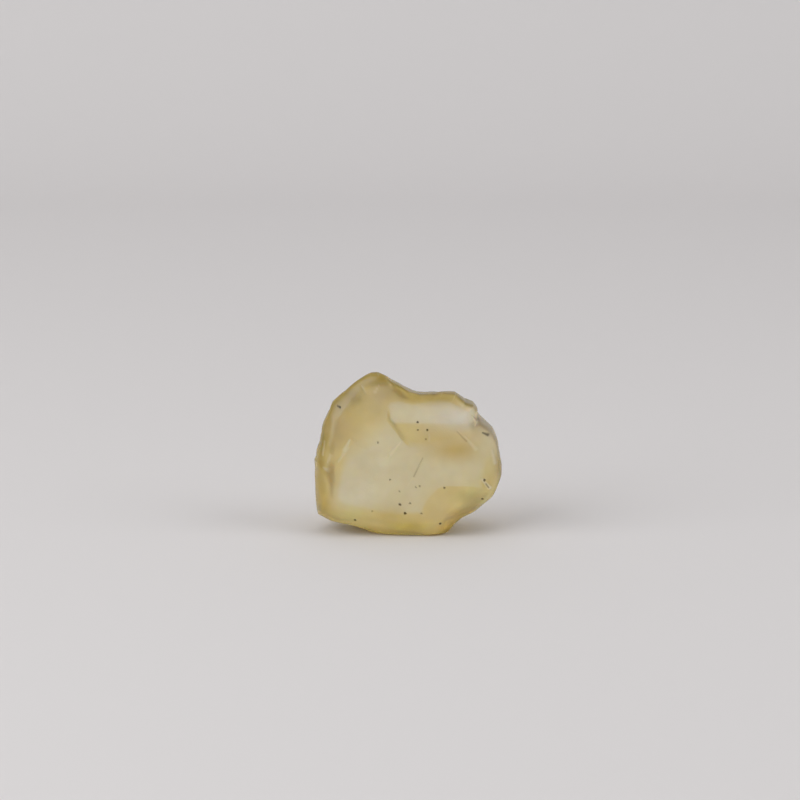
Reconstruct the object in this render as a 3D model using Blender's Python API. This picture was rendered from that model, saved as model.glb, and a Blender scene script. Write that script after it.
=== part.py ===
"""A nugget of Libyan desert glass: one natural, wind-worn piece of pale yellow silica glass.

It stands on its flat worn base with its broad face towards -Y. The frame's origin is at the centre of
the bounding box's underside, +X runs to the right along the broad face, and +Z is up.
Sizes in this file are in millimetres and degrees until the mesh is scaled to metres at the end.
"""

import math

import bmesh
import bpy
import numpy as np
from mathutils import Vector, noise

METRES_PER_MM = 0.001

GLASS_COLOUR = (0.8, 0.69, 0.42, 1)
GLASS_ROUGHNESS = 0.3
GLASS_IOR = 1.46

CENTRE = np.array((0.0, 0.0, 12.0))  # every ray that shapes the surface starts here
REACH = 2.0  # ray lengths searched for the surface
HALVINGS = 40
GRID = (36, 19, 32)  # cells of the box grid along X, Y and Z
GRID_BOX = (28.0, 12.0, 24.0)
SLOPE_STEP = 0.05  # how far apart the samples for a surface normal lie
FLAT_BELOW = 0.002  # points this close to the ground are put on it

SCAR_EDGE = 0.8  # how far the ridge round a flake scar is rounded
BREAK_EDGE = 0.8  # the same for the outer edge of a break
BREAK_HOLLOW = 0.9  # how far a break's inner corners are hollowed out round
WORN_EDGE = 1.8  # how far wind has rounded the ridges between facets
BASE_EDGE = 0.5  # how far the edge round the worn base is rounded

# The broad face's outline as (x, z), from the peak round by the right, the base and the left.
OUTLINE = [
    (-5.3, 26.6), (-3.9, 26.1), (-3.0, 25.2), (-1.7, 24.7), (-0.2, 23.7), (1.7, 23.2),
    (3.9, 23.1), (5.1, 23.3), (7.2, 23.1), (7.9, 22.5), (8.8, 21.7), (10.1, 21.2),
    (10.7, 20.3), (10.8, 19.3), (11.3, 18.3), (12.3, 17.3), (13.1, 16.4), (13.6, 15.4),
    (14.1, 14.2), (14.3, 13.1), (14.6, 12.0), (14.9, 10.6), (14.8, 9.1), (13.9, 7.1),
    (13.1, 5.7), (11.8, 4.4), (10.5, 3.3), (8.5, 2.4), (7.2, 1.4), (6.0, 0.1),
    (5.0, -0.8), (-0.9, -0.9), (-4.7, -0.8), (-7.6, 0.4), (-9.9, 1.2), (-13.0, 1.8),
    (-14.8, 2.6), (-15.1, 3.9), (-15.5, 6.2), (-15.7, 8.3), (-15.8, 10.3), (-16.1, 11.7),
    (-15.5, 12.3), (-15.2, 13.4), (-14.4, 14.8), (-14.0, 16.2), (-13.8, 17.4), (-13.3, 18.7),
    (-12.8, 20.0), (-12.4, 21.4), (-11.5, 22.4), (-10.4, 23.4), (-8.9, 24.8), (-7.7, 25.6),
    (-6.4, 26.4),
]
RIM_BULGE = 0.022  # how fast the rim draws in away from its ridge, per millimetre squared
RIM_WANDER = 0.9  # how far the rim's ridge wanders to the front and the back
RIM_PHASE = 0.7  # turns the wander round the rim, in radians
RIM_FORWARD = 6.0  # how far forward the ridge lies at the top
CORNERS_KEPT = 2.5  # up to this far from the ridge, the rim keeps the outline's small corners
CORNERS_FADE = 4.0  # over this further distance they wear off
CORNER_TURNS = (-0.12, -0.06, 0.0, 0.06, 0.12)  # directions averaged there, in radians
RIM_WAVES = 0.3  # half the depth of the shallow hollows worn into the rim away from the ridge
WAVES_AROUND = 7  # how many hollows there are round the rim
WAVES_ACROSS = 0.8  # how fast they shift across the thickness, in radians per millimetre

# Facets as (name, point on the plane, azimuth, elevation). The azimuth turns from the front (-Y) by
# the right (+X, 90) to the back (180), and a positive elevation faces up.
FACETS = [
    ("front_main", (0.0, -6.2, 11.0), -2, 4),
    ("front_lobe", (-7.0, -6.1, 20.9), -18, 18),
    ("front_left", (-14.8, -4.8, 10.0), -66, 2),
    ("front_bottom", (0.0, -5.9, 1.2), 0, -33),
    ("front_bottom_left", (-9.5, -5.4, 2.0), -14, -32),
    ("front_right", (13.4, -4.8, 12.0), 52, 3),
    ("front_lower_right", (10.2, -5.0, 4.0), 32, -25),
    ("front_upper_right", (12.0, -4.8, 19.8), 36, 6),
    ("back_main", (0.0, 6.8, 9.0), 179, 3),
    ("back_high", (-2.0, 6.8, 10.4), 182, 11),
    ("back_left", (-13.4, 3.2, 11.0), 240, 4),
    ("back_lobe_left", (-9.9, 6.8, 11.6), 205, 22),
    ("back_lobe_top", (-4.6, 6.1, 14.3), 186, 24),
    ("back_bottom", (-2.0, 6.4, 1.9), 182, -47),
    ("back_bottom_left", (-10.6, 5.5, 2.3), 206, -41),
    ("back_right", (12.6, 5.0, 12.0), 124, 0),
    ("back_high_right", (9.0, 4.2, 15.0), 170, 12),
]

# Where a flake broke away, as the planes that bound it: (point on the plane, azimuth, elevation).
BREAKS = {
    "back_step": [
        ((6.0, 6.8, 10.4), 177, 27.5),
        ((4.0, 3.4, 19.0), 177, 0),
        ((-0.8, 6.0, 13.7), 100, 38),
        ((-3.3, 3.9, 19.6), 112, 0),
    ],
    "back_lower_right": [
        ((4.0, 6.8, 7.0), 173, -45),
        ((3.0, 6.8, 5.0), 145, -20),
    ],
}

# Conchoidal flake scars as (name, where the flake left deepest, azimuth, elevation, radius).
SCARS = [
    ("right_shoulder", (11.8, -5.0, 17.0), 28, 5, 9.0),
    ("right_chip", (13.7, -3.9, 15.8), 42, 2, 4.0),
    ("right_side", (13.1, -4.0, 12.1), 58, 4, 5.0),
    ("right_corner", (11.8, -5.8, 8.8), 34, -6, 3.0),
    ("left_shoulder", (-11.2, -4.2, 21.1), -42, 30, 6.0),
    ("left_upper", (-13.0, -4.4, 16.9), -60, 12, 5.0),
    ("left_side", (-13.5, -5.2, 12.9), -50, 8, 6.0),
    ("left_low", (-13.8, -5.2, 8.7), -54, -4, 5.0),
    ("left_foot", (-12.7, -5.8, 4.9), -28, -12, 4.5),
    ("right_foot", (6.4, -5.8, 2.3), 20, -36, 4.0),
]

# Relief as (size of the swells, height), from the broad undulation to the small dimples.
RELIEF = [(7.0, 0.25), (2.6, 0.09)]
RELIEF_FADE = 1.5  # the relief fades out over this height above the base


def facing(azimuth, elevation):
    """The unit vector that a surface with this azimuth and elevation faces."""
    a = math.radians(azimuth)
    e = math.radians(elevation)
    return np.array((math.sin(a) * math.cos(e), -math.cos(a) * math.cos(e), math.sin(e)))


def smooth_max(a, b, edge):
    """The larger of two fields, rounded over where they are closer than edge."""
    near = np.maximum(edge - np.abs(a - b), 0.0) / edge
    return np.maximum(a, b) + near * near * edge / 4


def smooth_min(a, b, edge):
    return -smooth_max(-a, -b, edge)


def polar(x, z):
    return np.arctan2(z - CENTRE[2], x), np.hypot(x, z - CENTRE[2])


def outline_reach(angle):
    """How far the outline lies from the centre in each direction."""
    corner_angle, corner_reach = polar(*np.array(OUTLINE).T)
    order = np.argsort(corner_angle)
    return np.interp(angle, corner_angle[order], corner_reach[order], period=2 * math.pi)


def rim_field(p):
    """The outline as a rim that is widest along a wandering ridge, and draws in to front and back."""
    angle, reach = polar(p[:, 0], p[:, 2])
    ridge = RIM_WANDER * np.sin(2 * angle + RIM_PHASE) - RIM_FORWARD * np.maximum(np.sin(angle), 0)
    behind = p[:, 1] - ridge
    sharp = outline_reach(angle)
    worn = np.mean([outline_reach(angle + turn) for turn in CORNER_TURNS], axis=0)
    worn -= RIM_WAVES * (1 + np.sin(WAVES_AROUND * angle + WAVES_ACROSS * p[:, 1]))
    fade = np.clip((np.abs(behind) - CORNERS_KEPT) / CORNERS_FADE, 0, 1)
    return reach - sharp + fade * (sharp - worn) + RIM_BULGE * behind ** 2


def nugget_field(p):
    """Below zero inside the nugget, and about the distance outside it."""
    field = rim_field(p)
    for _, point, azimuth, elevation in FACETS:
        field = smooth_max(field, (p - point) @ facing(azimuth, elevation), WORN_EDGE)
    for planes in BREAKS.values():
        broken = np.full(len(p), np.inf)
        for point, azimuth, elevation in planes:
            broken = smooth_min(broken, (p - point) @ facing(azimuth, elevation), BREAK_HOLLOW)
        field = smooth_max(field, broken, BREAK_EDGE)
    for _, deepest, azimuth, elevation, radius in SCARS:
        centre = np.array(deepest) + radius * facing(azimuth, elevation)
        ball = radius - np.linalg.norm(p - centre, axis=1)
        field = smooth_max(field, ball, SCAR_EDGE)
    return smooth_max(field, -p[:, 2], BASE_EDGE)


def surface_points(rays):
    """Where each ray from the centre leaves the nugget, by halving the stretch that holds the surface."""
    inside = np.zeros(len(rays))
    outside = np.full(len(rays), REACH)
    for _ in range(HALVINGS):
        middle = (inside + outside) / 2
        is_inside = nugget_field(CENTRE + rays * middle[:, None]) < 0
        inside = np.where(is_inside, middle, inside)
        outside = np.where(is_inside, outside, middle)
    return CENTRE + rays * inside[:, None]


def outward(p):
    """The surface's unit normals, from the field's slope."""
    shifts = np.eye(3) * SLOPE_STEP
    slope = np.stack([nugget_field(p + s) - nugget_field(p - s) for s in shifts], axis=1)
    return slope / np.linalg.norm(slope, axis=1, keepdims=True)


def relief(p):
    """The height of the worn undulation at each point, fading out towards the base."""
    height = np.zeros(len(p))
    for size, amplitude in RELIEF:
        height += [amplitude * noise.noise(Vector(q) / size) for q in p]
    return height * np.clip(p[:, 2] / RELIEF_FADE, 0, 1)


def box_grid():
    """A box with a square grid on each side, in millimetres round the centre."""
    bm = bmesh.new()
    bmesh.ops.create_cube(bm, size=1)
    for axis, cells in enumerate(GRID):
        along = [e for e in bm.edges if abs(e.verts[0].co[axis] - e.verts[1].co[axis]) > 0.5]
        bmesh.ops.subdivide_edges(bm, edges=along, cuts=cells - 1, use_grid_fill=True)
    bmesh.ops.scale(bm, vec=GRID_BOX, verts=bm.verts)
    return bm


def desert_glass():
    mat = bpy.data.materials.new("desert_glass")
    mat.use_nodes = True
    principled = mat.node_tree.nodes["Principled BSDF"]
    principled.inputs["Base Color"].default_value = GLASS_COLOUR
    principled.inputs["Roughness"].default_value = GLASS_ROUGHNESS
    principled.inputs["Metallic"].default_value = 0.0
    principled.inputs["IOR"].default_value = GLASS_IOR
    return mat


def main():
    for old in list(bpy.data.objects):
        bpy.data.objects.remove(old)
    bm = box_grid()
    points = surface_points(np.array([v.co for v in bm.verts]))
    points += outward(points) * relief(points)[:, None]
    points[:, 2] = np.where(points[:, 2] < FLAT_BELOW, 0.0, points[:, 2])
    points[:, :2] -= (points[:, :2].min(axis=0) + points[:, :2].max(axis=0)) / 2
    for vertex, point in zip(bm.verts, points):
        vertex.co = point * METRES_PER_MM
    bmesh.ops.recalc_face_normals(bm, faces=bm.faces)
    mesh = bpy.data.meshes.new("glass_nugget")
    bm.to_mesh(mesh)
    bm.free()
    mesh.shade_smooth()
    mesh.materials.append(desert_glass())
    nugget = bpy.data.objects.new("glass_nugget", mesh)
    bpy.context.scene.collection.objects.link(nugget)


main()
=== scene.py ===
"""The looks of the Libyan desert glass nugget: its fine surface, its glass, and a plain studio.

The nugget's sizes are in millimetres and degrees until its mesh is scaled to metres at the end.
"""

import math

import bmesh
import bpy
import numpy as np
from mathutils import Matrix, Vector, noise


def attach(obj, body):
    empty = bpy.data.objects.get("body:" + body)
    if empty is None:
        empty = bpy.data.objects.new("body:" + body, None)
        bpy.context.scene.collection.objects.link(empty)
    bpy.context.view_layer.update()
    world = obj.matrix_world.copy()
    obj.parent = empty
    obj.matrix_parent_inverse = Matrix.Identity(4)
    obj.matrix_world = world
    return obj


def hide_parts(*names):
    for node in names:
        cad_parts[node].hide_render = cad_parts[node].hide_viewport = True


METRES_PER_MM = 0.001

CENTRE = np.array((0.0, 0.0, 12.0))  # every ray that shapes the surface starts here
REACH = 2.0  # ray lengths searched for the surface
HALVINGS = 40
GRID = (190, 56, 156)  # cells of the box grid along X, Y and Z
GRID_BOX = (28.0, 13.0, 23.0)
SLOPE_STEP = 0.05  # how far apart the samples for a surface normal lie
FLAT_BELOW = 0.002  # points this close to the ground are put on it
FIT = 0.998  # keeps the finer surface within the part's box
SCAR_EDGE = 0.7  # how far the ridge round a flake scar is rounded
BREAK_EDGE = 0.35  # the same for the outer edge of a break
BREAK_HOLLOW = 0.35  # how far a break's inner corners are hollowed out round

INWARD = np.array((0.0, 0.985, -0.174))  # how light from the front runs on inside the glass
START_INSIDE = 0.5  # how far under the front surface the light is followed from
LIGHT_HALVINGS = 24
FLAT_BEHIND = 0.92  # the painted shade is lightest where the surface behind the glass is at least this square to the light
STEEP_BEHIND = 0.85  # and the painted shade, a deeper yellow, is deepest where it is less square than this and bends the light away
DEEPEST = 22.0  # no light path inside is longer than this
FRONT_SLOPE = -0.35  # pits and scratches lie where the surface's normal has less than this along Y
RIM_SHADE_WIDTH = 2.2  # of the painted shade, a deep yellow, along the outline, where the light runs a long way through the edge
RIM_SHADE_POWER = 1.5  # how steeply the rim's painted shade fades inwards
RIM_SHADE_FADES = (8.0, 14.0)  # the rim's painted shade fades towards the right between these two x
RIM_SHADE_LEAST = 0.35  # its share that is left there
EDGE_WIDTH = 0.3  # of the thin dark line of painted shade along the outline, where the glass turns away at the grazing edge
EDGE_SHARE = 0.65
CREST_STEP = 0.12  # how far apart the samples for the curvature lie
CREST_BLUNT = 0.9  # the curvature, per millimetre, from which a crest is frosted
CREST_SHARP = 2.4  # and where it is frosted most
CREST_FROST = 0.25
DIRT_FILLS = 3  # how fast the dirt in a pit deepens from its edge

PALE = (0.9, 0.86, 0.68)
# painted shade of light bent away inside the glass, a deeper yellow
OCHRE_SHADE = (0.9, 0.79, 0.44)
# painted shade along the outline, a deep yellow
RIM_SHADE = (0.76, 0.59, 0.07)
# the thin dark line of painted shade along the outline
EDGE = (0.5, 0.42, 0.12)
FROST = (1.0, 0.94, 0.74)
DIRT = (0.02, 0.01, 0.0)

# Patches of painted light and shade as (x, z, half width, half height, strength, colour): pale where light
# comes through the glass or a shaded spot is lightened, deep yellow and dark where the light is bent away or
# a highlight is toned down.
LIGHT_AND_SHADE_PATCHES = [
    (8.5, 19.4, 5.0, 2.2, 0.9, (1.0, 0.96, 0.94)),
    (-8.5, 6.6, 4.0, 2.4, 0.8, (0.98, 0.96, 0.86)),
    (-4.0, 12.4, 1.6, 1.1, 0.5, (0.97, 0.94, 0.78)),
    (7.2, 14.4, 4.8, 1.8, 0.95, (0.75, 0.59, 0.24)),
    (-9.6, 20.8, 2.6, 3.0, 0.6, (0.72, 0.6, 0.26)),
    (-11.0, 17.2, 2.6, 2.4, 0.75, (0.72, 0.58, 0.32)),
    (-4.8, 20.6, 1.8, 1.8, 0.4, (0.74, 0.64, 0.42)),
    (-4.6, 23.2, 2.2, 1.5, 0.6, (0.76, 0.66, 0.46)),
    (-14.3, 8.0, 1.6, 8.0, 0.95, (0.56, 0.42, 0.1)),
    (-5.0, 26.0, 3.2, 1.3, 0.9, (0.72, 0.56, 0.12)),
    (-11.4, 20.8, 1.2, 1.6, 0.2, (0.6, 0.48, 0.2)),
    (-9.0, 23.0, 1.5, 1.4, 0.5, (0.6, 0.48, 0.18)),
    (-6.8, 24.8, 1.5, 1.2, 0.4, (0.62, 0.5, 0.18)),
    (4.0, 23.0, 6.5, 1.2, 0.9, (0.45, 0.33, 0.07)),
    (12.8, 16.0, 2.4, 3.4, 0.9, (1.0, 0.95, 0.76)),
    (9.6, 22.0, 1.6, 0.9, 0.9, (0.55, 0.44, 0.12)),
    (11.0, 20.2, 0.5, 1.2, 0.8, (0.66, 0.55, 0.18)),
    (10.6, 18.8, 0.9, 1.0, 0.5, (0.8, 0.7, 0.46)),
    (14.2, 15.6, 0.7, 1.6, 0.8, (1.0, 0.88, 0.42)),
    (12.3, 8.4, 0.9, 1.1, 0.6, (0.7, 0.56, 0.24)),
    (3.8, 6.0, 2.0, 2.2, 0.7, (0.9, 0.82, 0.52)),
    (10.8, 6.6, 3.4, 2.2, 0.9, (1.0, 0.9, 0.48)),
    (5.2, 3.4, 2.4, 1.6, 0.8, (0.78, 0.7, 0.44)),
    (-9.0, 3.4, 5.5, 1.5, 0.8, (1.0, 0.88, 0.44)),
    (-0.5, 1.8, 4.0, 0.9, 0.8, (1.0, 0.83, 0.24)),
    (-3.4, 3.6, 2.2, 1.2, 0.7, (0.78, 0.66, 0.3)),
]
CLOUDS = [(3.2, 0.06), (1.2, 0.035)]  # sizes and strengths of the mottling all over

# Pits on the broad face as (x, z, radius, how dirty).
PITS = [
    (1.2, 18.8, 0.2, 0.97), (1.2, 17.6, 0.16, 0.8), (2.7, 17.6, 0.2, 0.97), (2.5, 16.1, 0.16, 0.5),
    (-5.1, 15.5, 0.18, 0.5), (-3.2, 9.6, 0.16, 0.8), (1.5, 8.6, 0.16, 0.6), (0.9, 8.4, 0.16, 0.5),
    (5.4, 8.4, 0.19, 0.97), (-1.7, 7.7, 0.16, 0.5), (-1.6, 5.6, 0.22, 0.95), (0.0, 5.8, 0.18, 0.8),
    (-0.8, 4.1, 0.25, 1.0), (1.8, 4.1, 0.18, 0.7), (-8.7, 2.9, 0.2, 0.97), (4.8, 2.3, 0.21, 0.97),
    (11.8, 9.3, 0.23, 1.0), (11.6, 6.0, 0.2, 0.97), (-11.1, 20.9, 0.2, 0.9), (-11.4, 21.0, 0.16, 0.7),
    (-6.0, 4.5, 0.16, 0.5),
]
PIT_DEPTH = 0.6  # of the pit's radius

# Scratches and steps as (x, z) at both ends, half width at each end, depth, dirt and frost.
SCRATCHES = [
    ((2.0, 13.1), (0.6, 10.1), 0.1, 0.14, 0.05, 0.4, 0.0),
    ((0.6, 10.1), (-0.4, 8.6), 0.14, 0.2, 0.03, 0.0, 0.25),
    ((-1.4, 15.7), (-3.2, 13.5), 0.12, 0.4, 0.05, 0.0, 0.9),
    ((-3.2, 13.4), (-4.2, 12.2), 0.4, 0.8, 0.03, 0.0, 0.6),
    ((7.4, 17.4), (8.9, 15.8), 0.1, 0.2, 0.06, 0.25, 0.0),
    ((8.7, 16.6), (10.4, 14.5), 0.15, 0.45, -0.06, 0.0, 0.6),
    ((-9.5, 15.9), (-10.3, 14.2), 0.12, 0.5, -0.07, 0.0, 0.9),
    ((-10.0, 14.6), (-11.4, 12.3), 0.5, 0.15, 0.05, 0.0, 0.7),
    ((-12.9, 11.0), (-13.8, 11.3), 0.5, 0.2, 0.05, 0.0, 0.35),
    ((-13.6, 15.4), (-13.9, 13.2), 0.15, 0.25, 0.05, 0.0, 0.5),
    ((-12.6, 13.4), (-13.1, 12.2), 0.3, 0.15, 0.05, 0.0, 0.5),
    ((11.4, 9.5), (12.7, 7.8), 0.25, 0.4, -0.12, 0.0, 1.0),
    ((12.0, 8.7), (12.5, 7.9), 0.12, 0.16, 0.1, 0.7, 0.0),
    ((11.5, 16.9), (12.4, 16.4), 0.15, 0.3, 0.12, 0.8, 0.0),
    ((9.8, 19.7), (10.4, 18.8), 0.12, 0.28, -0.12, 0.0, 1.0),
    ((10.6, 18.8), (10.2, 18.1), 0.26, 0.12, -0.1, 0.0, 1.0),
    ((10.8, 19.9), (10.7, 19.2), 0.12, 0.2, 0.06, 0.0, 0.9),
    ((13.0, 13.8), (13.5, 11.6), 0.2, 0.35, -0.08, 0.0, 0.8),
    ((3.0, 16.9), (3.0, 15.8), 0.12, 0.25, 0.03, 0.0, 0.35),
    ((-7.7, 24.4), (-7.1, 23.4), 0.15, 0.3, 0.06, 0.0, 0.4),
    ((-4.9, 24.5), (-5.6, 23.4), 0.12, 0.3, 0.03, 0.0, 0.5),
]

GLASS_ROUGHNESS = 0.24
GLASS_IOR = 1.46
GLASS_CLEAR = 0.65  # the share of the light that goes through; the rest makes the glass milky
GLASS_MILK = 1.0
MILK_RADIUS = (1.0, 0.8, 0.5)
MILK_SCALE = 0.002  # metres
ABSORPTION_COLOUR = (0.9, 0.75, 0.2, 1)
ABSORPTION_DENSITY = 60.0  # per metre
GRAIN_SCALE = 4000  # per metre
GRAIN_DETAIL = 3
GRAIN_STRENGTH = 0.25
GRAIN_DEPTH = 0.0001  # metres

# The studio, in metres and watts.
SWEEP_HALF = 1.2  # half the sweep's width, and how far it comes forward
SWEEP_BACK = 0.30  # where the floor starts to curve up
SWEEP_RADIUS = 0.16
SWEEP_STEPS = 24
SWEEP_TOP = 1.4
SWEEP_COLOUR = (0.74, 0.72, 0.72, 1)
SWEEP_ROUGHNESS = 0.9
SWEEP_SHINE = 0.1
SKY_STRENGTH = 0.3

# Square area lights as (name, place, target, side, power).
LIGHTS = [
    ("light_left", (-0.52, -0.32, 0.36), (0, 0.02, 0.0), 0.58, 2.95),
    ("light_right", (0.55, -0.22, 0.38), (0, 0.02, 0.0), 0.4, 1.2),
    ("light_top", (0, 0.05, 0.75), (0, 0.05, 0.0), 0.7, 1.05),
]

CAMERA_DISTANCE = 0.6
CAMERA_ELEVATION = 13.0
CAMERA_TARGET = (-0.0013, 0, 0.0210)
FRAME_WIDTH = 0.127  # how much the picture takes in at the target
SENSOR_WIDTH = 36
CLIP_START = 0.01

# The nugget's form, in millimetres.
WORN_EDGE = 1.8  # how far wind has rounded the ridges between facets
BASE_EDGE = 0.5  # how far the edge round the worn base is rounded

# The broad face's outline as (x, z), from the peak round by the right, the base and the left.
OUTLINE = [
    (-5.3, 26.6), (-3.9, 26.1), (-3.0, 25.2), (-1.7, 24.7), (-0.2, 23.7), (1.7, 23.2),
    (3.9, 23.1), (5.1, 23.3), (7.2, 23.1), (7.9, 22.5), (8.8, 21.7), (10.1, 21.2),
    (10.7, 20.3), (10.8, 19.3), (11.3, 18.3), (12.3, 17.3), (13.1, 16.4), (13.6, 15.4),
    (14.1, 14.2), (14.3, 13.1), (14.6, 12.0), (14.9, 10.6), (14.8, 9.1), (13.9, 7.1),
    (13.1, 5.7), (11.8, 4.4), (10.5, 3.3), (8.5, 2.4), (7.2, 1.4), (6.0, 0.1),
    (5.0, -0.8), (-0.9, -0.9), (-4.7, -0.8), (-7.6, 0.4), (-9.9, 1.2), (-13.0, 1.8),
    (-14.8, 2.6), (-15.1, 3.9), (-15.5, 6.2), (-15.7, 8.3), (-15.8, 10.3), (-16.1, 11.7),
    (-15.5, 12.3), (-15.2, 13.4), (-14.4, 14.8), (-14.0, 16.2), (-13.8, 17.4), (-13.3, 18.7),
    (-12.8, 20.0), (-12.4, 21.4), (-11.5, 22.4), (-10.4, 23.4), (-8.9, 24.8), (-7.7, 25.6),
    (-6.4, 26.4),
]
RIM_BULGE = 0.022  # how fast the rim draws in away from its ridge, per millimetre squared
RIM_WANDER = 0.9  # how far the rim's ridge wanders to the front and the back
RIM_PHASE = 0.7  # turns the wander round the rim, in radians
RIM_FORWARD = 6.0  # how far forward the ridge lies at the top
CORNERS_KEPT = 2.5  # up to this far from the ridge, the rim keeps the outline's small corners
CORNERS_FADE = 4.0  # over this further distance they wear off
CORNER_TURNS = (-0.12, -0.06, 0.0, 0.06, 0.12)  # directions averaged there, in radians
RIM_WAVES = 0.3  # half the depth of the shallow hollows worn into the rim away from the ridge
WAVES_AROUND = 7  # how many hollows there are round the rim
WAVES_ACROSS = 0.8  # how fast they shift across the thickness, in radians per millimetre

# Facets as (name, point on the plane, azimuth, elevation). The azimuth turns from the front (-Y) by
# the right (+X, 90) to the back (180), and a positive elevation faces up.
FACETS = [
    ("front_main", (0.0, -6.2, 11.0), -2, 4),
    ("front_lobe", (-7.0, -6.1, 20.9), -18, 18),
    ("front_left", (-14.8, -4.8, 10.0), -66, 2),
    ("front_bottom", (0.0, -5.9, 1.2), 0, -33),
    ("front_bottom_left", (-9.5, -5.4, 2.0), -14, -32),
    ("front_right", (13.4, -4.8, 12.0), 52, 3),
    ("front_lower_right", (10.2, -5.0, 4.0), 32, -25),
    ("front_upper_right", (12.0, -4.8, 19.8), 36, 6),
    ("back_main", (0.0, 6.8, 9.0), 179, 3),
    ("back_high", (-2.0, 6.8, 10.4), 182, 11),
    ("back_left", (-13.4, 3.2, 11.0), 240, 4),
    ("back_lobe_left", (-9.9, 6.8, 11.6), 205, 22),
    ("back_lobe_top", (-4.6, 6.1, 14.3), 186, 24),
    ("back_bottom", (-2.0, 6.4, 1.9), 182, -47),
    ("back_bottom_left", (-10.6, 5.5, 2.3), 206, -41),
    ("back_right", (12.6, 5.0, 12.0), 124, 0),
    ("back_high_right", (9.0, 4.2, 15.0), 170, 12),
]

# Where a flake broke away, as the planes that bound it: (point on the plane, azimuth, elevation).
BREAKS = {
    "back_step": [
        ((6.0, 6.8, 10.4), 177, 27.5),
        ((4.0, 3.4, 19.0), 177, 0),
        ((-0.8, 6.0, 13.7), 100, 38),
        ((-3.3, 3.9, 19.6), 112, 0),
    ],
    "back_lower_right": [
        ((4.0, 6.8, 7.0), 173, -45),
        ((3.0, 6.8, 5.0), 145, -20),
    ],
}

# Conchoidal flake scars as (name, where the flake left deepest, azimuth, elevation, radius).
SCARS = [
    ("right_shoulder", (11.8, -5.0, 17.0), 28, 5, 9.0),
    ("right_chip", (13.7, -3.9, 15.8), 42, 2, 4.0),
    ("right_side", (13.1, -4.0, 12.1), 58, 4, 5.0),
    ("right_corner", (11.8, -5.8, 8.8), 34, -6, 3.0),
    ("left_shoulder", (-11.2, -4.2, 21.1), -42, 30, 6.0),
    ("left_upper", (-13.0, -4.4, 16.9), -60, 12, 5.0),
    ("left_side", (-13.5, -5.2, 12.9), -50, 8, 6.0),
    ("left_low", (-13.8, -5.2, 8.7), -54, -4, 5.0),
    ("left_foot", (-12.7, -5.8, 4.9), -28, -12, 4.5),
    ("right_foot", (6.4, -5.8, 2.3), 20, -36, 4.0),
]

# Relief as (size of the swells, height), from the broad undulation to the small dimples.
RELIEF = [(7.0, 0.25), (2.6, 0.09)]
RELIEF_FADE = 1.5  # the relief fades out over this height above the base


def facing(azimuth, elevation):
    """The unit vector that a surface with this azimuth and elevation faces."""
    a = math.radians(azimuth)
    e = math.radians(elevation)
    return np.array((math.sin(a) * math.cos(e), -math.cos(a) * math.cos(e), math.sin(e)))


def smooth_max(a, b, edge):
    """The larger of two fields, rounded over where they are closer than edge."""
    near = np.maximum(edge - np.abs(a - b), 0.0) / edge
    return np.maximum(a, b) + near * near * edge / 4


def smooth_min(a, b, edge):
    return -smooth_max(-a, -b, edge)


def polar(x, z):
    return np.arctan2(z - CENTRE[2], x), np.hypot(x, z - CENTRE[2])


def outline_reach(angle):
    """How far the outline lies from the centre in each direction."""
    corner_angle, corner_reach = polar(*np.array(OUTLINE).T)
    order = np.argsort(corner_angle)
    return np.interp(angle, corner_angle[order], corner_reach[order], period=2 * math.pi)


def rim_field(p):
    """The outline as a rim that is widest along a wandering ridge, and draws in to front and back."""
    angle, reach = polar(p[:, 0], p[:, 2])
    ridge = RIM_WANDER * np.sin(2 * angle + RIM_PHASE) - RIM_FORWARD * np.maximum(np.sin(angle), 0)
    behind = p[:, 1] - ridge
    sharp = outline_reach(angle)
    worn = np.mean([outline_reach(angle + turn) for turn in CORNER_TURNS], axis=0)
    worn -= RIM_WAVES * (1 + np.sin(WAVES_AROUND * angle + WAVES_ACROSS * p[:, 1]))
    fade = np.clip((np.abs(behind) - CORNERS_KEPT) / CORNERS_FADE, 0, 1)
    return reach - sharp + fade * (sharp - worn) + RIM_BULGE * behind ** 2


def nugget_field(p):
    """Below zero inside the nugget, and about the distance outside it."""
    field = rim_field(p)
    for _, point, azimuth, elevation in FACETS:
        field = smooth_max(field, (p - point) @ facing(azimuth, elevation), WORN_EDGE)
    for planes in BREAKS.values():
        broken = np.full(len(p), np.inf)
        for point, azimuth, elevation in planes:
            broken = smooth_min(broken, (p - point) @ facing(azimuth, elevation), BREAK_HOLLOW)
        field = smooth_max(field, broken, BREAK_EDGE)
    for _, deepest, azimuth, elevation, radius in SCARS:
        centre = np.array(deepest) + radius * facing(azimuth, elevation)
        ball = radius - np.linalg.norm(p - centre, axis=1)
        field = smooth_max(field, ball, SCAR_EDGE)
    return smooth_max(field, -p[:, 2], BASE_EDGE)


def surface_points(rays):
    """Where each ray from the centre leaves the nugget, by halving the stretch that holds the surface."""
    inside = np.zeros(len(rays))
    outside = np.full(len(rays), REACH)
    for _ in range(HALVINGS):
        middle = (inside + outside) / 2
        is_inside = nugget_field(CENTRE + rays * middle[:, None]) < 0
        inside = np.where(is_inside, middle, inside)
        outside = np.where(is_inside, outside, middle)
    return CENTRE + rays * inside[:, None]


def outward(p):
    """The surface's unit normals, from the field's slope."""
    shifts = np.eye(3) * SLOPE_STEP
    slope = np.stack([nugget_field(p + s) - nugget_field(p - s) for s in shifts], axis=1)
    return slope / np.linalg.norm(slope, axis=1, keepdims=True)


def relief(p):
    """The height of the worn undulation at each point, fading out towards the base."""
    height = np.zeros(len(p))
    for size, amplitude in RELIEF:
        height += [amplitude * noise.noise(Vector(q) / size) for q in p]
    return height * np.clip(p[:, 2] / RELIEF_FADE, 0, 1)


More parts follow.
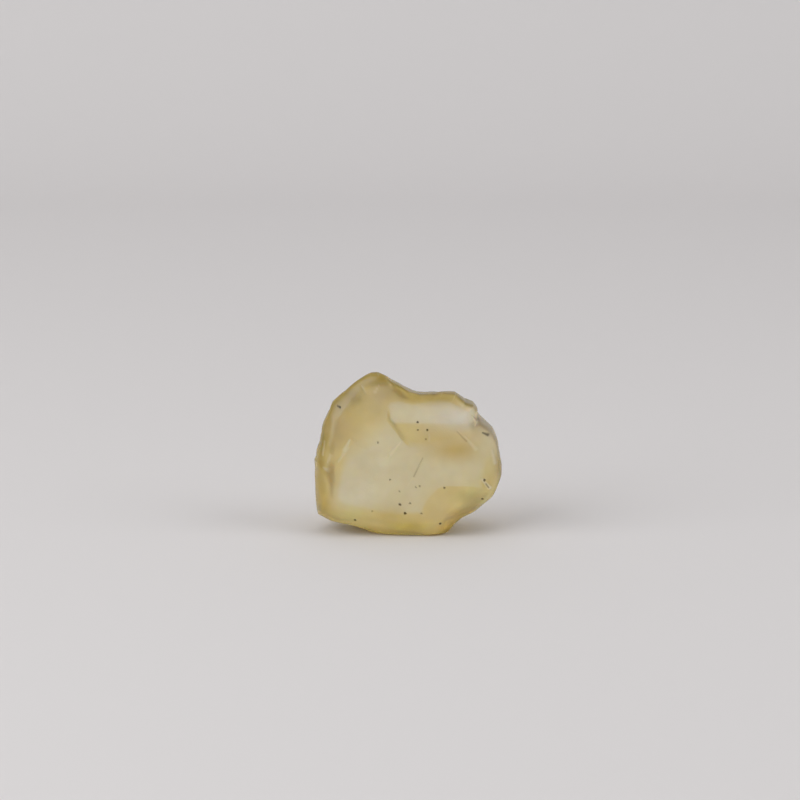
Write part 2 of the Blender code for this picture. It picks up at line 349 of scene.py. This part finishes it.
def box_grid():
    """A box with a square grid on each side, in millimetres round the centre."""
    bm = bmesh.new()
    bmesh.ops.create_cube(bm, size=1)
    for axis, cells in enumerate(GRID):
        along = [e for e in bm.edges if abs(e.verts[0].co[axis] - e.verts[1].co[axis]) > 0.5]
        bmesh.ops.subdivide_edges(bm, edges=along, cuts=cells - 1, use_grid_fill=True)
    bmesh.ops.scale(bm, vec=GRID_BOX, verts=bm.verts)
    return bm


def path_shade_share(p):
    """How much painted shade, a deeper yellow, each point gets for light that the glass behind it bends away:
    1 where the glass behind it slopes away, 0 where it lies flat.
    """
    normal = outward(p)
    faces_front = normal @ INWARD < 0
    behind = p[faces_front] + START_INSIDE * INWARD
    inside = np.zeros(len(behind))
    outside = np.full(len(behind), DEEPEST)
    for _ in range(LIGHT_HALVINGS):
        middle = (inside + outside) / 2
        is_inside = nugget_field(behind + middle[:, None] * INWARD) < 0
        inside = np.where(is_inside, middle, inside)
        outside = np.where(is_inside, outside, middle)
    normal[faces_front] = outward(behind + inside[:, None] * INWARD)
    slope = normal @ INWARD
    return np.clip((FLAT_BEHIND - slope) / (FLAT_BEHIND - STEEP_BEHIND), 0, 1)


def rim_shade_share(p):
    """Painted shade of the long light path through the edge: 1 along the outline's rim, fading to 0 further
    in, and fainter where flakes broke off on the right.
    """
    depth = np.clip(1 + rim_field(p) / RIM_SHADE_WIDTH, 0, 1)
    fade_start, fade_end = RIM_SHADE_FADES
    return depth ** RIM_SHADE_POWER * np.clip((fade_end - p[:, 0]) / (fade_end - fade_start), RIM_SHADE_LEAST, 1)


def crest_share(p):
    """1 on the sharpest crests, where the surface is worn to frost, and 0 where it is blunt or hollow."""
    middle = nugget_field(p)
    bend = np.zeros(len(p))
    for shift in np.eye(3) * CREST_STEP:
        bend += nugget_field(p + shift) - 2 * middle + nugget_field(p - shift)
    return np.clip((bend / CREST_STEP ** 2 - CREST_BLUNT) / (CREST_SHARP - CREST_BLUNT), 0, 1)


def along_segment(p, start, end):
    """Each point's distance from a line on the broad face, and how far along the line it is, from 0 to 1."""
    flat = p[:, [0, 2]] - start
    line = np.subtract(end, start)
    share = np.clip(flat @ line / (line @ line), 0, 1)
    return np.linalg.norm(flat - share[:, None] * line, axis=1), share


def blended(colour, share, other):
    """The colours mixed with another one, by each point's share of it."""
    return colour + (np.array(other) - colour) * share[:, None]


def worn(p):
    """How deep each point is cut by pits and scratches, and how dirty and how frosted it is there."""
    front = outward(p)[:, 1] < FRONT_SLOPE
    cut = np.zeros(len(p))
    dirt = np.zeros(len(p))
    frost = np.zeros(len(p))
    for x, z, radius, soiled in PITS:
        near = front * np.clip(1 - (np.hypot(p[:, 0] - x, p[:, 2] - z) / radius) ** 2, 0, 1)
        cut += PIT_DEPTH * radius * near
        dirt = np.maximum(dirt, soiled * np.minimum(DIRT_FILLS * near, 1))
    for start, end, start_width, end_width, depth, soiled, frosted in SCRATCHES:
        away, share = along_segment(p, start, end)
        width = start_width + (end_width - start_width) * share
        near = front * np.clip(1 - (away / width) ** 2, 0, 1)
        cut += depth * near
        dirt = np.maximum(dirt, soiled * near)
        frost = np.maximum(frost, frosted * near)
    return cut, dirt, frost


def glass_colours(p, dirt, frost):
    """The colour at each point: painted shade for the light's path through the glass and along the outline,
    patches of painted light and shade, the thin dark line of painted shade at the outline, the frost and the
    dirt.
    """
    # painted shade where the glass behind bends the light away
    colour = blended(np.tile(PALE, (len(p), 1)), path_shade_share(p), OCHRE_SHADE)
    # painted shade along the outline
    colour = blended(colour, rim_shade_share(p), RIM_SHADE)
    # patches of painted light and shade
    for x, z, half_width, half_height, strength, patch_colour in LIGHT_AND_SHADE_PATCHES:
        reach = ((p[:, 0] - x) / half_width) ** 2 + ((p[:, 2] - z) / half_height) ** 2
        colour = blended(colour, strength * np.exp(-reach), patch_colour)
    for size, strength in CLOUDS:
        colour *= 1 + np.array([[strength * noise.noise(Vector(q) / size)] for q in p])
    # the thin dark line of painted shade along the outline
    colour = blended(colour, EDGE_SHARE * np.clip(1 + rim_field(p) / EDGE_WIDTH, 0, 1), EDGE)
    colour = blended(colour, np.maximum(frost, CREST_FROST * crest_share(p)), FROST)
    return blended(colour, dirt, DIRT)


def make_nugget():
    bm = box_grid()
    points = surface_points(np.array([v.co for v in bm.verts]))
    cut, dirt, frost = worn(points)
    colours = glass_colours(points, dirt, frost)
    points += outward(points) * (relief(points) - cut)[:, None]
    points[:, 2] = np.where(points[:, 2] < FLAT_BELOW, 0.0, points[:, 2])
    points[:, :2] -= (points[:, :2].min(axis=0) + points[:, :2].max(axis=0)) / 2
    for vertex, point in zip(bm.verts, points):
        vertex.co = point * FIT * METRES_PER_MM
    bmesh.ops.recalc_face_normals(bm, faces=bm.faces)
    mesh = bpy.data.meshes.new("nugget_surface")
    bm.to_mesh(mesh)
    bm.free()
    tint = mesh.attributes.new("tint", "FLOAT_COLOR", "POINT")
    tint.data.foreach_set("color", np.column_stack((colours, np.ones(len(colours)))).ravel())
    mesh.shade_smooth()
    nugget = bpy.data.objects.new("nugget_surface", mesh)
    bpy.context.scene.collection.objects.link(nugget)
    return nugget


def glass_material():
    """See-through glass with a milky share and a fine frosted grain."""
    mat = bpy.data.materials.new("desert_glass")
    mat.use_nodes = True
    tree = mat.node_tree
    glass = tree.nodes["Principled BSDF"]
    tint = tree.nodes.new("ShaderNodeAttribute")
    tint.attribute_name = "tint"
    tree.links.new(tint.outputs["Color"], glass.inputs["Base Color"])
    glass.inputs["Roughness"].default_value = GLASS_ROUGHNESS
    glass.inputs["IOR"].default_value = GLASS_IOR
    glass.inputs["Transmission Weight"].default_value = GLASS_CLEAR
    glass.inputs["Subsurface Weight"].default_value = GLASS_MILK
    glass.inputs["Subsurface Radius"].default_value = MILK_RADIUS
    glass.inputs["Subsurface Scale"].default_value = MILK_SCALE
    absorption = tree.nodes.new("ShaderNodeVolumeAbsorption")
    absorption.inputs["Color"].default_value = ABSORPTION_COLOUR
    absorption.inputs["Density"].default_value = ABSORPTION_DENSITY
    tree.links.new(absorption.outputs[0], tree.nodes["Material Output"].inputs["Volume"])
    coordinates = tree.nodes.new("ShaderNodeTexCoord")
    grain = tree.nodes.new("ShaderNodeTexNoise")
    grain.inputs["Scale"].default_value = GRAIN_SCALE
    grain.inputs["Detail"].default_value = GRAIN_DETAIL
    bump = tree.nodes.new("ShaderNodeBump")
    bump.inputs["Strength"].default_value = GRAIN_STRENGTH
    bump.inputs["Distance"].default_value = GRAIN_DEPTH
    tree.links.new(coordinates.outputs["Object"], grain.inputs["Vector"])
    tree.links.new(grain.outputs["Fac"], bump.inputs["Height"])
    tree.links.new(bump.outputs["Normal"], glass.inputs["Normal"])
    return mat


def sweep():
    """A pale floor that curves up into a backdrop."""
    bm = bmesh.new()
    profile = [(-SWEEP_HALF, 0.0), (SWEEP_BACK, 0.0)]
    for i in range(1, SWEEP_STEPS + 1):
        a = math.radians(90 * i / SWEEP_STEPS)
        profile.append((SWEEP_BACK + SWEEP_RADIUS * math.sin(a), SWEEP_RADIUS * (1 - math.cos(a))))
    profile.append((SWEEP_BACK + SWEEP_RADIUS, SWEEP_TOP))
    rows = []
    for y, z in profile:
        rows.append([bm.verts.new((x, y, z)) for x in (-SWEEP_HALF, SWEEP_HALF)])
    for a, b in zip(rows, rows[1:]):
        bm.faces.new((a[0], a[1], b[1], b[0]))
    mesh = bpy.data.meshes.new("studio_sweep")
    bm.to_mesh(mesh)
    bm.free()
    mesh.shade_smooth()
    ob = bpy.data.objects.new("studio_sweep", mesh)
    bpy.context.scene.collection.objects.link(ob)
    mat = bpy.data.materials.new("studio_sweep")
    mat.use_nodes = True
    paper = mat.node_tree.nodes["Principled BSDF"]
    paper.inputs["Base Color"].default_value = SWEEP_COLOUR
    paper.inputs["Roughness"].default_value = SWEEP_ROUGHNESS
    paper.inputs["Specular IOR Level"].default_value = SWEEP_SHINE
    mesh.materials.append(mat)


def area_light(name, place, target, size, power):
    data = bpy.data.lights.new(name, "AREA")
    data.shape = "RECTANGLE"
    data.size = size
    data.size_y = size
    data.energy = power
    ob = bpy.data.objects.new(name, data)
    ob.location = place
    ob.rotation_euler = (Vector(target) - Vector(place)).to_track_quat("-Z", "Y").to_euler()
    bpy.context.scene.collection.objects.link(ob)


def studio():
    """A pale sweep, three soft lights and an even white sky."""
    sweep()
    for light in LIGHTS:
        area_light(*light)
    world = bpy.data.worlds.new("studio")
    bpy.context.scene.world = world
    world.use_nodes = True
    sky = world.node_tree.nodes["Background"]
    sky.inputs["Color"].default_value = (1, 1, 1, 1)
    sky.inputs["Strength"].default_value = SKY_STRENGTH
    bpy.context.scene.view_settings.view_transform = "Standard"


def camera():
    """The camera, to the front of the broad face and a little above it."""
    data = bpy.data.cameras.new("camera")
    data.sensor_width = SENSOR_WIDTH
    data.lens = SENSOR_WIDTH * CAMERA_DISTANCE / FRAME_WIDTH
    data.clip_start = CLIP_START
    ob = bpy.data.objects.new("camera", data)
    e = math.radians(CAMERA_ELEVATION)
    target = Vector(CAMERA_TARGET)
    ob.location = target + CAMERA_DISTANCE * Vector((0, -math.cos(e), math.sin(e)))
    ob.rotation_euler = (target - ob.location).to_track_quat("-Z", "Y").to_euler()
    bpy.context.scene.collection.objects.link(ob)
    bpy.context.scene.camera = ob


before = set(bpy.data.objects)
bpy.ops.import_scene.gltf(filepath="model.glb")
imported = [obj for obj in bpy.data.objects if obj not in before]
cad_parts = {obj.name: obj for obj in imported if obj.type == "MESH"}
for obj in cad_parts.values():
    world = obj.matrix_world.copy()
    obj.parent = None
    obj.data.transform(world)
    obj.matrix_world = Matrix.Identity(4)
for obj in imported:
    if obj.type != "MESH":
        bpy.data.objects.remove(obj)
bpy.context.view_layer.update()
camera()
nugget = make_nugget()
nugget.data.materials.append(glass_material())
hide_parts("glass_nugget")
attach(nugget, "root")
studio()
